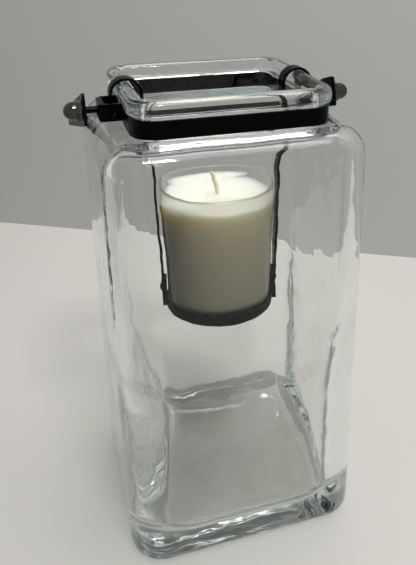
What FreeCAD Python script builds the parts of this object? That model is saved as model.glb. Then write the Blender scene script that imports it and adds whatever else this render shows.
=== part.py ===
import FreeCAD
import Part
import Sketcher
import math
import os
import re

# A square pressed-glass candle lantern: a thick clear jar with a necked-in mouth, a black
# two-piece strap collar with a folding bail, and a votive cup hung in the mouth on two hooks.
# The frame stands on the jar's foot: +Z is up, +X to the right, and the front faces -Y.
# All sizes are in millimetres and degrees.
SIZES = {
    # Glass jar
    "body_width": 130.0,
    "body_depth": 127.0,
    "body_corner": 19.0,
    "wall": 5.5,
    "base_thickness": 13.0,
    "heel_round": 9.5,
    "inner_corner": 15.0,
    "inner_corner_low": 26.0,
    "inner_swell_level": 95.0,
    "inner_swell_height": 55.0,
    "inner_round": 14.0,
    "shoulder_height": 237.0,
    "shoulder_round": 15.0,
    "neck_setback_side": 17.4,
    "neck_setback_front": 17.6,
    "neck_corner": 11.5,
    "lip_height": 8.6,
    "lip_overhang": 2.9,
    "lip_breadth": 8.7,
    "lip_round": 3.8,
    "throat_round": 4.0,
    # Strap collar with its side loops
    "band_height": 8.7,
    "band_gauge": 1.3,
    "band_clearance": 0.2,
    "band_play": 0.4,
    "band_bend": 0.6,
    "loop_gap": 16.0,
    "loop_stand": 10.4,
    "tab_setback": 1.0,
    # Pivot studs and what they carry
    "stud_radius": 1.7,
    "stud_head_radius": 3.2,
    "stud_head_height": 1.8,
    "stud_head_round": 0.7,
    "stud_clearance": 0.1,
    "nut_across": 9.5,
    "nut_hex_height": 3.0,
    "nut_barrel": 1.5,
    "nut_dome_radius": 4.5,
    "nut_thread_depth": 5.2,
    "nut_end_gap": 0.3,
    # Clamp screws that draw the two halves of the collar together
    "clamp_inset": 3.2,
    "clamp_drop": 1.7,
    "clamp_radius": 1.3,
    "clamp_head_radius": 2.1,
    "clamp_nut_across": 4.4,
    "clamp_nut_height": 2.4,
    "clamp_tail": 1.2,
    # Folding bail
    "bail_gauge": 1.6,
    "bail_end_width": 16.0,
    "bail_end_length": 5.5,
    "bail_end_round": 1.5,
    "bail_seat": 6.5,
    "bail_splay": 6.0,
    "bail_bar_width": 8.0,
    "bail_bend": 11.0,
    "bail_body_gap": 0.3,
    "bail_side_play": 0.15,
    "bail_running_gap": 0.05,
    "bail_rest_angle": 17.0,
    "bail_rest_gap": 0.35,
    # Hanger straps that hook over the lip
    "strap_width": 8.0,
    "strap_gauge": 1.4,
    "hook_radius": 7.0,
    "hook_inset": 5.2,
    "hook_rise": 0.65,
    "hook_tip_gap": 2.0,
    "kink_drop": 36.6,
    "kink_length": 6.5,
    "strap_foot_lift": 1.2,
    "strap_lean": 1.8,
    "hanger_turn": 9.0,
    # Tray and its rivets
    "tray_drop": 130.9,
    "tray_gauge": 1.2,
    "tray_rim_height": 6.0,
    "tray_rim_gauge": 1.0,
    "tray_round": 1.2,
    "ear_gauge": 1.5,
    "ear_inset": 0.5,
    "ear_height": 18.5,
    "rivet_height": 12.0,
    "rivet_radius": 1.45,
    "rivet_clearance": 0.05,
    "rivet_head_radius": 2.4,
    "rivet_head_height": 1.3,
    # Votive cup and candle
    "cup_foot_radius": 28.7,
    "cup_clearance": 0.5,
    "cup_flare": 0.036,
    "cup_height": 71.8,
    "cup_wall": 2.2,
    "cup_base": 5.0,
    "cup_heel": 2.0,
    "cup_inner_round": 2.6,
    "wax_depth": 59.6,
    "wax_gap": 0.15,
    "wax_creep": 0.8,
    "wick_radius": 1.1,
    "wick_gap": 0.1,
    "wick_stand": 1.5,
    "wick_bend": 12.0,
    "wick_lean": 22.0,
    "wick_tip": 6.5,
    "wick_tab_radius": 8.0,
    "wick_tab_gauge": 0.8,
    "wick_tab_gap": 0.2,
}

doc = FreeCAD.newDocument("candle_lantern")
sheet = doc.addObject("Spreadsheet::Sheet", "Sizes")
for row, (name, number) in enumerate(SIZES.items(), start=1):
    sheet.set("A%d" % row, name)
    sheet.set("B%d" % row, str(number))
    sheet.setAlias("B%d" % row, name)
doc.recompute()

# Lengths that follow from the sizes above, as formulas of them.
NECK_HEIGHT = "(band_height + 2 * band_play)"
LIP_BOTTOM = "(shoulder_height + %s)" % NECK_HEIGHT
LIP_TOP = "(%s + lip_height)" % LIP_BOTTOM
NECK_HALF_WIDTH = "(body_width / 2 - neck_setback_side)"
NECK_HALF_DEPTH = "(body_depth / 2 - neck_setback_front)"
LIP_HALF_WIDTH = "(%s + lip_overhang)" % NECK_HALF_WIDTH
LIP_HALF_DEPTH = "(%s + lip_overhang)" % NECK_HALF_DEPTH
MOUTH_HALF_WIDTH = "(%s - lip_breadth)" % LIP_HALF_WIDTH
MOUTH_HALF_DEPTH = "(%s - lip_breadth)" % LIP_HALF_DEPTH
MOUTH_CORNER = "(neck_corner + lip_overhang - lip_breadth)"
CEILING = "(shoulder_height - wall)"
SWELL_TOP = "(inner_swell_level + inner_swell_height)"
BAND_MIDDLE = "(shoulder_height + %s / 2)" % NECK_HEIGHT
BAND_SIDE = "(%s + band_clearance + band_gauge)" % NECK_HALF_WIDTH
FLANGE = "(loop_gap / 2 + band_gauge)"
CLAMP_PLACE = "(%s + clamp_inset)" % BAND_SIDE
CLAMP_LEVEL = "(%s - clamp_drop)" % BAND_MIDDLE
LOOP_REACH = "(%s + loop_stand)" % BAND_SIDE
STUD_SEAT = "(%s - 2 * band_gauge)" % LOOP_REACH
PLATE_INNER = "(body_width / 2 + bail_body_gap)"
NUT_START = "(%s + bail_gauge + bail_side_play)" % PLATE_INNER
BAIL_REACH = (
    "((body_depth / 2 + bail_rest_gap + bail_bar_width / 2 * sin(bail_rest_angle)) / cos(bail_rest_angle))"
)
TRAY_BOTTOM = "(%s - tray_drop)" % LIP_TOP
TRAY_RADIUS = "(cup_foot_radius + cup_clearance + tray_rim_gauge)"
EAR_INNER = "(%s - ear_inset)" % TRAY_RADIUS
STRAP_INNER = "(%s + ear_gauge)" % EAR_INNER
EAR_TOP = "(%s + ear_height)" % TRAY_BOTTOM
CUP_BOTTOM = "(%s + tray_gauge)" % TRAY_BOTTOM
CUP_TOP = "(%s + cup_height)" % CUP_BOTTOM
CUP_FLOOR = "(%s + cup_base)" % CUP_BOTTOM
WAX_TOP = "(%s + wax_depth)" % CUP_FLOOR
RIVET_LEVEL = "(%s + rivet_height)" % TRAY_BOTTOM

STRAIGHT_ON = FreeCAD.Vector(0, 0, 1)
CLOCKWISE = FreeCAD.Vector(0, 0, -1)
HALF_TURN = FreeCAD.Rotation(STRAIGHT_ON, 180)
QUARTER_TURN = FreeCAD.Rotation(STRAIGHT_ON, 90)
NEAR = 0.001


def link(formula):
    """Point every size name in a formula at its cell."""
    return re.sub(r"[a-z_]+", lambda word: "Sizes." + word[0] if word[0] in SIZES else word[0], formula)


def value(formula):
    """Work a formula out as a plain number."""
    return float(sheet.evalExpression(link(formula)))


def new_body(label):
    """Start one sub-part."""
    body = doc.addObject("PartDesign::Body", label)
    body.Label = label
    return body


def sketch_on(body, role, offset="0"):
    """Attach a sketch to one of the body's own planes, moved along its normal."""
    sketch = body.newObject("Sketcher::SketchObject", "sketch")
    plane = next(item for item in body.Origin.OriginFeatures if item.Role == role)
    sketch.AttachmentSupport = [(plane, "")]
    sketch.MapMode = "FlatFace"
    sketch.setExpression("AttachmentOffset.Base.z", link(offset))
    return sketch


def turn_sketch(sketch, axis, angle):
    """Turn a sketch about an axis of its own plane or normal."""
    offset = sketch.AttachmentOffset
    sketch.AttachmentOffset = FreeCAD.Placement(offset.Base, FreeCAD.Rotation(axis, value(angle)))
    sketch.setExpression("AttachmentOffset.Rotation.Angle", link(angle))


def fix(sketch, geometry, position, across, up):
    """Hold one point of a sketch at two formulas."""
    for kind, formula, axis in (("DistanceX", across, -2), ("DistanceY", up, -1)):
        if formula == "0":
            sketch.addConstraint(Sketcher.Constraint("PointOnObject", geometry, position, axis))
            continue
        number = sketch.addConstraint(
            Sketcher.Constraint(kind, -1, 1, geometry, position, value(formula))
        )
        sketch.setExpression("Constraints[%d]" % number, link(formula))


def draw(sketch, corners, closed=True):
    """Join corners (across, up) with lines, or with an arc where a corner adds its radius and turn."""
    points = [FreeCAD.Vector(value(corner[0]), value(corner[1]), 0) for corner in corners]
    first = 0 if closed else 1
    ends = []
    for index in range(first, len(corners)):
        start, finish = points[index - 1], points[index]
        if len(corners[index]) == 2:
            geometry = sketch.addGeometry(Part.LineSegment(start, finish))
            ends.append((geometry, 1, 2))
            continue
        radius, turn = corners[index][2:]
        chord = finish - start
        side = 1 if turn == "left" else -1
        reach = math.sqrt(max(value(radius) ** 2 - (chord.Length / 2) ** 2, 0))
        normal = FreeCAD.Vector(-chord.y, chord.x, 0).normalize() * side
        centre = (start + finish) * 0.5 + normal * reach
        begin, stop = (start, finish) if side > 0 else (finish, start)
        angles = [math.atan2(point.y - centre.y, point.x - centre.x) for point in (begin, stop)]
        circle = Part.Circle(centre, STRAIGHT_ON, value(radius))
        geometry = sketch.addGeometry(Part.ArcOfCircle(circle, angles[0], angles[1]))
        ends.append((geometry, 1, 2) if side > 0 else (geometry, 2, 1))
        number = sketch.addConstraint(Sketcher.Constraint("Radius", geometry, value(radius)))
        sketch.setExpression("Constraints[%d]" % number, link(radius))
    for index, (geometry, start, finish) in enumerate(ends):
        before = ends[index - 1]
        if closed or index > 0:
            sketch.addConstraint(Sketcher.Constraint("Coincident", before[0], before[2], geometry, start))
        fix(sketch, geometry, start, *corners[index - 1 if closed else index][:2])
    if not closed:
        fix(sketch, ends[-1][0], ends[-1][2], *corners[-1][:2])


def draw_circle(sketch, radius, across="0", up="0"):
    """Add a circle at two formulas."""
    centre = FreeCAD.Vector(value(across), value(up), 0)
    geometry = sketch.addGeometry(Part.Circle(centre, STRAIGHT_ON, value(radius)))
    fix(sketch, geometry, 3, across, up)
    number = sketch.addConstraint(Sketcher.Constraint("Radius", geometry, value(radius)))
    sketch.setExpression("Constraints[%d]" % number, link(radius))


def draw_rounded_rectangle(sketch, half_width, half_depth, corner):
    """Add a rectangle with rounded corners, centred on the sketch's origin."""
    inner_width = "(%s - %s)" % (half_width, corner)
    inner_depth = "(%s - %s)" % (half_depth, corner)
    draw(sketch, [
        ("-" + inner_width, "-" + half_depth, corner, "left"),
        (inner_width, "-" + half_depth),
        (half_width, "-" + inner_depth, corner, "left"),
        (half_width, inner_depth),
        (inner_width, half_depth, corner, "left"),
        ("-" + inner_width, half_depth),
        ("-" + half_width, inner_depth, corner, "left"),
        ("-" + half_width, "-" + inner_depth),
    ])


def draw_hexagon(sketch, across_flats):
    """Add a regular hexagon with a flat above and below, centred on the sketch's origin."""
    half = "(%s / 2)" % across_flats
    side = "(%s * tan(30))" % half
    draw(sketch, [
        ("-" + side, "-" + half),
        (side, "-" + half),
        ("2 * " + side, "0"),
        (side, half),
        ("-" + side, half),
        ("-2 * " + side, "0"),
    ])


def pad(body, sketch, length, symmetric=False):
    """Raise a sketch along its normal."""
    feature = body.newObject("PartDesign::Pad", "pad")
    feature.Profile = sketch
    feature.setExpression("Length", link(length))
    if symmetric:
        feature.SideType = "Symmetric"


def pocket(body, sketch, length, upward=False, symmetric=False):
    """Cut a sketch into the body, against its normal unless it goes upward."""
    doc.recompute()
    before = body.Shape.Volume
    feature = body.newObject("PartDesign::Pocket", "pocket")
    feature.Profile = sketch
    feature.setExpression("Length", link(length))
    feature.Reversed = upward
    if symmetric:
        feature.SideType = "Symmetric"
    doc.recompute()
    if body.Shape.Volume >= before - NEAR:
        raise RuntimeError("a cut in %s removed nothing" % body.Label)


def spin(body, sketch, axis):
    """Turn a sketch once round one of its own axes."""
    feature = body.newObject("PartDesign::Revolution", "revolution")
    feature.Profile = sketch
    feature.ReferenceAxis = (sketch, [axis])
    feature.Angle = 360


def mirror_across(body):
    """Repeat the body's last feature on the other side of its YZ plane."""
    doc.recompute()
    feature = body.newObject("PartDesign::Mirrored", "mirrored")
    feature.Originals = [body.Tip]
    plane = next(item for item in body.Origin.OriginFeatures if item.Role == "YZ_Plane")
    feature.MirrorPlane = (plane, [""])
    body.Tip = feature


def fillet(body, radius, chosen):
    """Round the edges that a test picks out."""
    doc.recompute()
    base = body.Tip
    names = ["Edge%d" % number for number, edge in enumerate(base.Shape.Edges, start=1) if chosen(edge)]
    if not names:
        raise RuntimeError("no edge to round in %s" % body.Label)
    feature = body.newObject("PartDesign::Fillet", "fillet")
    feature.Base = (base, names)
    feature.setExpression("Radius", link(radius))


def at_level(formula, half_width="body_width", half_depth="body_depth"):
    """Pick the edges at one height that lie within a rectangle about the Z axis."""
    level, across, along = value(formula), value(half_width) + NEAR, value(half_depth) + NEAR

    def chosen(edge):
        return all(
            abs(point.Z - level) < NEAR and abs(point.X) < across and abs(point.Y) < along
            for point in edge.Vertexes
        )

    return chosen


def upright_at(across, along):
    """Pick the upright edges at one place and at its mirror image across the YZ plane."""
    side, reach = value(across), value(along)

    def chosen(edge):
        return edge.BoundBox.XLength < NEAR and all(
            abs(abs(point.X) - side) < NEAR and abs(point.Y - reach) < NEAR for point in edge.Vertexes
        )

    return chosen


def turned(label, corners, axis):
    """Make a turned piece from an outline in the XZ plane: H_Axis is X and V_Axis is Z."""
    body = new_body(label)
    sketch = sketch_on(body, "XZ_Plane")
    draw(sketch, corners)
    spin(body, sketch, axis)
    return body


def set_level(body, formula, rotation=FreeCAD.Rotation()):
    """Lift a piece to a height and turn it."""
    body.Placement = FreeCAD.Placement(FreeCAD.Vector(0, 0, 0), rotation)
    body.setExpression("Placement.Base.z", link(formula))


def set_turn(body, angle):
    """Turn a piece clockwise about the Z axis, seen from above."""
    body.Placement = FreeCAD.Placement(body.Placement.Base, FreeCAD.Rotation(CLOCKWISE, value(angle)))
    body.setExpression("Placement.Rotation.Angle", link(angle))


def cavity_section(jar, level, corner):
    """Draw the outline of the jar's inside at one height."""
    section = sketch_on(jar, "XY_Plane", level)
    draw_rounded_rectangle(section, "(body_width / 2 - wall)", "(body_depth / 2 - wall)", corner)
    return section


def hollow(jar, level, corner, height):
    """Cut a straight part of the jar's inside, upward from one height."""
    pocket(jar, cavity_section(jar, level, corner), height, upward=True)


def make_jar():
    """Thick-walled jar: rounded body, straight neck, beaded lip and one open cavity.

    The cavity's corners are tighter above than below, and swell from one to the other."""
    jar = new_body("glass_jar")
    outer = sketch_on(jar, "XY_Plane")
    draw_rounded_rectangle(outer, "(body_width / 2)", "(body_depth / 2)", "body_corner")
    pad(jar, outer, "shoulder_height")
    fillet(jar, "heel_round", at_level("0"))
    fillet(jar, "shoulder_round", at_level("shoulder_height"))
    neck = sketch_on(jar, "XY_Plane", "shoulder_height")
    draw_rounded_rectangle(neck, NECK_HALF_WIDTH, NECK_HALF_DEPTH, "neck_corner")
    pad(jar, neck, NECK_HEIGHT)
    lip = sketch_on(jar, "XY_Plane", LIP_BOTTOM)
    draw_rounded_rectangle(lip, LIP_HALF_WIDTH, LIP_HALF_DEPTH, "(neck_corner + lip_overhang)")
    pad(jar, lip, "lip_height")
    fillet(jar, "lip_round", at_level(LIP_TOP))
    hollow(jar, "base_thickness", "inner_corner_low", "inner_swell_level - base_thickness")
    fillet(jar, "inner_round", at_level("base_thickness"))
    swell = jar.newObject("PartDesign::SubtractiveLoft", "swell")
    swell.Profile = cavity_section(jar, "inner_swell_level", "inner_corner_low")
    swell.Sections = [cavity_section(jar, SWELL_TOP, "inner_corner")]
    swell.Ruled = True
    hollow(jar, SWELL_TOP, "inner_corner", "%s - %s" % (CEILING, SWELL_TOP))
    fillet(jar, "shoulder_round - wall", at_level(CEILING))
    mouth = sketch_on(jar, "XY_Plane", LIP_TOP)
    draw_rounded_rectangle(mouth, MOUTH_HALF_WIDTH, MOUTH_HALF_DEPTH, MOUTH_CORNER)
    pocket(jar, mouth, "%s - %s + wall" % (LIP_TOP, CEILING))
    fillet(jar, "lip_round", at_level(LIP_TOP, MOUTH_HALF_WIDTH, MOUTH_HALF_DEPTH))
    fillet(jar, "throat_round", at_level(CEILING, MOUTH_HALF_WIDTH, MOUTH_HALF_DEPTH))


def make_band(label, reach, rotation):
    """Half of the collar: a strip round the front of the neck, with a flange and end tab each side."""
    band = new_body(label)
    side_in = "(%s + band_clearance)" % NECK_HALF_WIDTH
    front_in = "(%s + band_clearance)" % NECK_HALF_DEPTH
    front_out = "(%s + band_gauge)" % front_in
    turn_in = "(neck_corner + band_clearance)"
    turn_out = "(%s + band_gauge)" % turn_in
    flat_side = "(%s - %s)" % (side_in, turn_in)
    flat_front = "(%s - %s)" % (front_in, turn_in)
    bend_out = "(band_bend + band_gauge)"
    flange_in = "(loop_gap / 2)"
    tab_in = "(%s - band_gauge)" % reach
    tab_end = "(loop_gap / 2 - tab_setback)"
    strip = sketch_on(band, "XY_Plane", "shoulder_height + band_play")
    draw(strip, [
        ("0", "-" + front_out),
        (flat_side, "-" + front_out),
        (BAND_SIDE, "-" + flat_front, turn_out, "left"),
        (BAND_SIDE, "-%s - band_bend" % FLANGE),
        (BAND_SIDE + " + band_bend", "-" + FLANGE, "band_bend", "right"),
        ("%s - %s" % (reach, bend_out), "-" + FLANGE),
        (reach, "-%s + %s" % (FLANGE, bend_out), bend_out, "left"),
        (reach, tab_end),
        (tab_in, tab_end),
        (tab_in, "-%s + band_bend" % flange_in),
        (tab_in + " - band_bend", "-" + flange_in, "band_bend", "right"),
        ("%s + %s" % (side_in, bend_out), "-" + flange_in),
        (side_in, "-%s - %s" % (flange_in, bend_out), bend_out, "left"),
        (side_in, "-" + flat_front),
        (flat_side, "-" + front_in, turn_in, "right"),
        ("0", "-" + front_in),
    ])
    pad(band, strip, "band_height")
    mirror_across(band)
    clamp_holes = sketch_on(band, "XZ_Plane")
    for sign in ("", "-"):
        draw_circle(clamp_holes, "(clamp_radius + stud_clearance)", sign + CLAMP_PLACE, CLAMP_LEVEL)
    pocket(band, clamp_holes, "2 * body_depth", symmetric=True)
    stud_holes = sketch_on(band, "YZ_Plane")
    draw_circle(stud_holes, "(stud_radius + stud_clearance)", "0", BAND_MIDDLE)
    pocket(band, stud_holes, "2 * body_width", symmetric=True)
    band.Placement = FreeCAD.Placement(FreeCAD.Vector(0, 0, 0), rotation)


def make_pivot(side, rotation):
    """One side's pivot: a headed stud through the loop, and the acorn nut at its end."""
    bore = "(stud_radius + stud_clearance)"
    stud = turned("stud_" + side, [
        (STUD_SEAT + " - stud_head_height", "0"),
        (NUT_START + " + nut_thread_depth - nut_end_gap", "0"),
        (NUT_START + " + nut_thread_depth - nut_end_gap", "stud_radius"),
        (STUD_SEAT, "stud_radius"),
        (STUD_SEAT, "stud_head_radius"),
        (STUD_SEAT + " - stud_head_height + stud_head_round", "stud_head_radius"),
        (STUD_SEAT + " - stud_head_height", "stud_head_radius - stud_head_round",
         "stud_head_round", "left"),
    ], "H_Axis")
    nut = new_body("acorn_nut_" + side)
    hexagon = sketch_on(nut, "YZ_Plane", NUT_START)
    draw_hexagon(hexagon, "nut_across")
    pad(nut, hexagon, "nut_hex_height")
    dome = sketch_on(nut, "XZ_Plane")
    dome_start = "(%s + nut_hex_height + nut_barrel)" % NUT_START
    draw(dome, [
        (NUT_START, "0"),
        (dome_start + " + nut_dome_radius", "0"),
        (dome_start, "nut_dome_radius", "nut_dome_radius", "left"),
        (NUT_START, "nut_dome_radius"),
    ])
    spin(nut, dome, "H_Axis")
    thread = sketch_on(nut, "YZ_Plane", NUT_START)
    draw_circle(thread, bore)
    pocket(nut, thread, "nut_thread_depth", upward=True)
    for piece in (stud, nut):
        set_level(piece, BAND_MIDDLE, rotation)


def make_clamp(side, sign):
    """A round-head screw through both flanges beside the neck, with its nut at the back."""
    screw = turned("clamp_screw_" + side, [
        ("-%s - clamp_head_radius" % FLANGE, "0", "clamp_head_radius", "left"),
        (FLANGE + " + clamp_nut_height + clamp_tail", "0"),
        (FLANGE + " + clamp_nut_height + clamp_tail", "clamp_radius"),
        ("-" + FLANGE, "clamp_radius"),
        ("-" + FLANGE, "clamp_head_radius"),
    ], "H_Axis")
    nut = new_body("clamp_nut_" + side)
    hexagon = sketch_on(nut, "YZ_Plane", FLANGE)
    draw_hexagon(hexagon, "clamp_nut_across")
    draw_circle(hexagon, "(clamp_radius + stud_clearance)")
    pad(nut, hexagon, "clamp_nut_height")
    for piece in (screw, nut):
        set_level(piece, CLAMP_LEVEL, QUARTER_TURN)
        piece.setExpression("Placement.Base.x", link(sign + CLAMP_PLACE))


def make_bail():
    """Strap handle: square ends on the studs, arms that splay and taper, and a cross bar behind."""
    bail = new_body("bail_handle")
    outer_reach = "(%s + bail_gauge)" % BAIL_REACH
    end_outer = "(%s + bail_gauge)" % PLATE_INNER
    far_inner = "(%s + bail_splay)" % PLATE_INNER
    far_outer = "(%s + bail_gauge)" % far_inner
    strip = sketch_on(bail, "XY_Plane")
    draw(strip, [
        ("0", BAIL_REACH),
        (far_inner, BAIL_REACH),
        (PLATE_INNER, "bail_seat"),
        (PLATE_INNER, "-bail_end_length"),
        (end_outer, "-bail_end_length"),
        (end_outer, "bail_seat"),
        (far_outer, outer_reach),
        ("0", outer_reach),
    ])
    pad(bail, strip, "bail_end_width", symmetric=True)
    mirror_across(bail)
    for across, along, radius in (
        (far_inner, BAIL_REACH, "bail_bend"), (far_outer, outer_reach, "bail_bend + bail_gauge")
    ):
        fillet(bail, radius, upright_at(across, along))
    taper = sketch_on(bail, "YZ_Plane")
    for sign in ("", "-"):
        draw(taper, [
            ("bail_seat", sign + "bail_end_width / 2"),
            (outer_reach + " + bail_gauge", sign + "bail_bar_width / 2"),
            (outer_reach + " + bail_gauge", sign + "bail_end_width"),
            ("bail_seat", sign + "bail_end_width"),
        ])
    pocket(bail, taper, "4 * " + far_outer, symmetric=True)
    corner, level = -value("bail_end_length"), value("bail_end_width / 2")

    def end_corner(edge):
        return edge.BoundBox.ZLength < NEAR and all(
            abs(point.Y - corner) < NEAR and abs(abs(point.Z) - level) < NEAR for point in edge.Vertexes
        )

    fillet(bail, "bail_end_round", end_corner)
    eyes = sketch_on(bail, "YZ_Plane")
    draw_circle(eyes, "(stud_radius + bail_running_gap)")
    pocket(bail, eyes, "4 * " + end_outer, symmetric=True)
    set_level(bail, BAND_MIDDLE, FreeCAD.Rotation(FreeCAD.Vector(-1, 0, 0), value("bail_rest_angle")))
    bail.setExpression("Placement.Rotation.Angle", link("bail_rest_angle"))


def make_strap(side, rotation):
    """Hanger strap: from the turned tray up beside the cup, out at a kink and over the lip in a hook.

    The leg between the kink and the hook twists back, so that the hook sits square on the lip."""
    strap = new_body("hanger_strap_" + side)
    top_inner = "(%s + strap_lean)" % STRAP_INNER
    hook_centre = "(%s - hook_inset)" % LIP_HALF_WIDTH
    leg_outer = "(%s - hook_radius)" % hook_centre
    leg_inner = "(%s - strap_gauge)" % leg_outer
    tip_inner = "(%s + hook_radius)" % hook_centre
    tip_outer = "(%s + strap_gauge)" % tip_inner
    arch = "(%s + hook_rise - hook_radius)" % LIP_TOP
    arch_radius = "(hook_radius + strap_gauge)"
    tip = "(%s + clamp_radius + hook_tip_gap)" % BAND_MIDDLE
    kink_high = "(%s - kink_drop)" % LIP_TOP
    kink_low = "(%s - kink_length)" % kink_high
    foot = "(%s + strap_foot_lift)" % TRAY_BOTTOM
    strip = sketch_on(strap, "XZ_Plane")
    draw(strip, [
        (leg_outer, arch),
        (hook_centre, arch + " + hook_radius", "hook_radius", "right"),
        (tip_inner, arch, "hook_radius", "right"),
        (tip_inner, tip),
        (tip_outer, tip),
        (tip_outer, arch),
        (hook_centre, "%s + %s" % (arch, arch_radius), arch_radius, "left"),
        (leg_inner, arch, arch_radius, "left"),
    ])
    pad(strap, strip, "strap_width", symmetric=True)
    sections = []
    for level, inner, turn in (
        (foot, STRAP_INNER, True),
        (EAR_TOP, STRAP_INNER, True),
        (kink_low, top_inner, True),
        (kink_high, leg_inner, True),
        (arch, leg_inner, False),
    ):
        section = sketch_on(strap, "XY_Plane", level)
        draw(section, [
            (inner, "-strap_width / 2"),
            (inner + " + strap_gauge", "-strap_width / 2"),
            (inner + " + strap_gauge", "strap_width / 2"),
            (inner, "strap_width / 2"),
        ])
        if turn:
            turn_sketch(section, CLOCKWISE, "hanger_turn")
        sections.append(section)
    run = strap.newObject("PartDesign::AdditiveLoft", "run")
    run.Profile = sections[0]
    run.Sections = sections[1:]
    run.Ruled = True
    rivet_hole = sketch_on(strap, "YZ_Plane")
    turn_sketch(rivet_hole, FreeCAD.Vector(0, -1, 0), "hanger_turn")
    draw_circle(rivet_hole, "(rivet_radius + rivet_clearance)", "0", RIVET_LEVEL)
    pocket(strap, rivet_hole, "2 * body_width", symmetric=True)
    strap.Placement = FreeCAD.Placement(FreeCAD.Vector(0, 0, 0), rotation)


def make_tray():
    """Shallow dish that holds the cup, with an upright ear on each side for the straps."""
    rim_top = "(%s + tray_rim_height)" % TRAY_BOTTOM
    rim_inner = "(%s - tray_rim_gauge)" % TRAY_RADIUS
    tray = turned("candle_tray", [
        ("0", TRAY_BOTTOM),
        (TRAY_RADIUS + " - tray_round", TRAY_BOTTOM),
        (TRAY_RADIUS, TRAY_BOTTOM + " + tray_round", "tray_round", "left"),
        (TRAY_RADIUS, rim_top),
        (rim_inner, rim_top),
        (rim_inner, CUP_BOTTOM),
        ("0", CUP_BOTTOM),
    ], "V_Axis")
    ears = sketch_on(tray, "XY_Plane", TRAY_BOTTOM + " + tray_round")
    for sign in ("", "-"):
        near, far = sign + EAR_INNER, sign + STRAP_INNER
        draw(ears, [
            (near, "-strap_width / 2"),
            (far, "-strap_width / 2"),
            (far, "strap_width / 2"),
            (near, "strap_width / 2"),
        ])
    pad(tray, ears, "ear_height - tray_round")
    rivet_holes = sketch_on(tray, "YZ_Plane")
    draw_circle(rivet_holes, "(rivet_radius + rivet_clearance)", "0", RIVET_LEVEL)
    pocket(tray, rivet_holes, "2 * body_width", symmetric=True)
    set_turn(tray, "hanger_turn")


def make_rivet(side, angle):
    """Domed rivet through the tray's ear and the strap's foot."""
    strap_outer = "(%s + strap_gauge)" % STRAP_INNER
    dome = "((rivet_head_height ^ 2 + rivet_head_radius ^ 2) / 2 / rivet_head_height)"
    rivet = turned("tray_rivet_" + side, [
        (EAR_INNER, "0"),
        (strap_outer + " + rivet_head_height", "0"),
        (strap_outer, "rivet_head_radius", dome, "left"),
        (strap_outer, "rivet_radius"),
        (EAR_INNER, "rivet_radius"),
    ], "H_Axis")
    set_level(rivet, RIVET_LEVEL)
    set_turn(rivet, angle)


def cup_radius(level):
    """The outer radius of the cup's flared wall at a height."""
    return "(cup_foot_radius + cup_flare * (%s - %s))" % (level, CUP_BOTTOM)


def make_cup():
    """Plain votive glass with a slight flare, a thick base and a rounded rim."""
    rim = "(%s - cup_wall / 2)" % CUP_TOP
    inner_heel = "(%s + cup_inner_round)" % CUP_FLOOR
    outer_heel = "(%s + cup_heel)" % CUP_BOTTOM
    floor_radius = "(%s - cup_wall - cup_inner_round)" % cup_radius(inner_heel)
    turned("votive_cup", [
        ("0", CUP_BOTTOM),
        (cup_radius(outer_heel) + " - cup_heel", CUP_BOTTOM),
        (cup_radius(outer_heel), outer_heel, "cup_heel", "left"),
        (cup_radius(rim), rim),
        (cup_radius(rim) + " - cup_wall / 2", CUP_TOP, "cup_wall / 2", "left"),
        (cup_radius(rim) + " - cup_wall", rim, "cup_wall / 2", "left"),
        (cup_radius(inner_heel) + " - cup_wall", inner_heel),
        (floor_radius, CUP_FLOOR, "cup_inner_round", "right"),
        ("0", CUP_FLOOR),
    ], "V_Axis")


def make_candle():
    """Poured wax with its wick and the wick's metal tab on the cup's floor."""
    heel = "(%s + cup_inner_round)" % CUP_FLOOR
    creep = "(%s + wax_creep)" % WAX_TOP
    gap = " - cup_wall - wax_gap"
    bore = "(wick_radius + wick_gap)"
    tab_top = "(%s + wick_tab_gauge)" % CUP_FLOOR
    turned("candle_wax", [
        ("wick_tab_radius + wick_tab_gap", CUP_FLOOR),
        (cup_radius(heel) + gap + " - cup_inner_round", CUP_FLOOR),
        (cup_radius(heel) + gap, heel, "cup_inner_round", "left"),
        (cup_radius(creep) + gap, creep),
        (cup_radius(creep) + gap + " - 2 * wax_creep", WAX_TOP),
        (bore, WAX_TOP),
        (bore, tab_top + " + wick_tab_gap"),
        ("wick_tab_radius + wick_tab_gap", tab_top + " + wick_tab_gap"),
    ], "V_Axis")
    turned("wick_tab", [
        (bore, CUP_FLOOR),
        ("wick_tab_radius", CUP_FLOOR),
        ("wick_tab_radius", tab_top),
        (bore, tab_top),
    ], "V_Axis")
    wick = new_body("candle_wick")
    bend = "(%s + wick_stand)" % WAX_TOP
    bend_across = "(wick_bend * (1 - cos(wick_lean)))"
    bend_up = "(%s + wick_bend * sin(wick_lean))" % bend
    route = sketch_on(wick, "XZ_Plane")
    draw(route, [
        ("0", CUP_FLOOR),
        ("0", bend),
        ("-" + bend_across, bend_up, "wick_bend", "left"),
        ("-%s - wick_tip * sin(wick_lean)" % bend_across, bend_up + " + wick_tip * cos(wick_lean)"),
    ], closed=False)
    section = sketch_on(wick, "XY_Plane", CUP_FLOOR)
    draw_circle(section, "wick_radius")
    pipe = wick.newObject("PartDesign::AdditivePipe", "pipe")
    pipe.Profile = section
    pipe.Spine = route


make_jar()
make_band("band_front", LOOP_REACH, FreeCAD.Rotation())
make_band("band_back", "(%s - band_gauge)" % LOOP_REACH, HALF_TURN)
make_bail()
make_tray()
make_cup()
make_candle()
for side, sign, rotation, angle in (
    ("left", "-", HALF_TURN, "180 + hanger_turn"), ("right", "", FreeCAD.Rotation(), "hanger_turn")
):
    make_pivot(side, rotation)
    make_clamp(side, sign)
    make_strap(side, rotation)
    make_rivet(side, angle)
doc.recompute()

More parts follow.
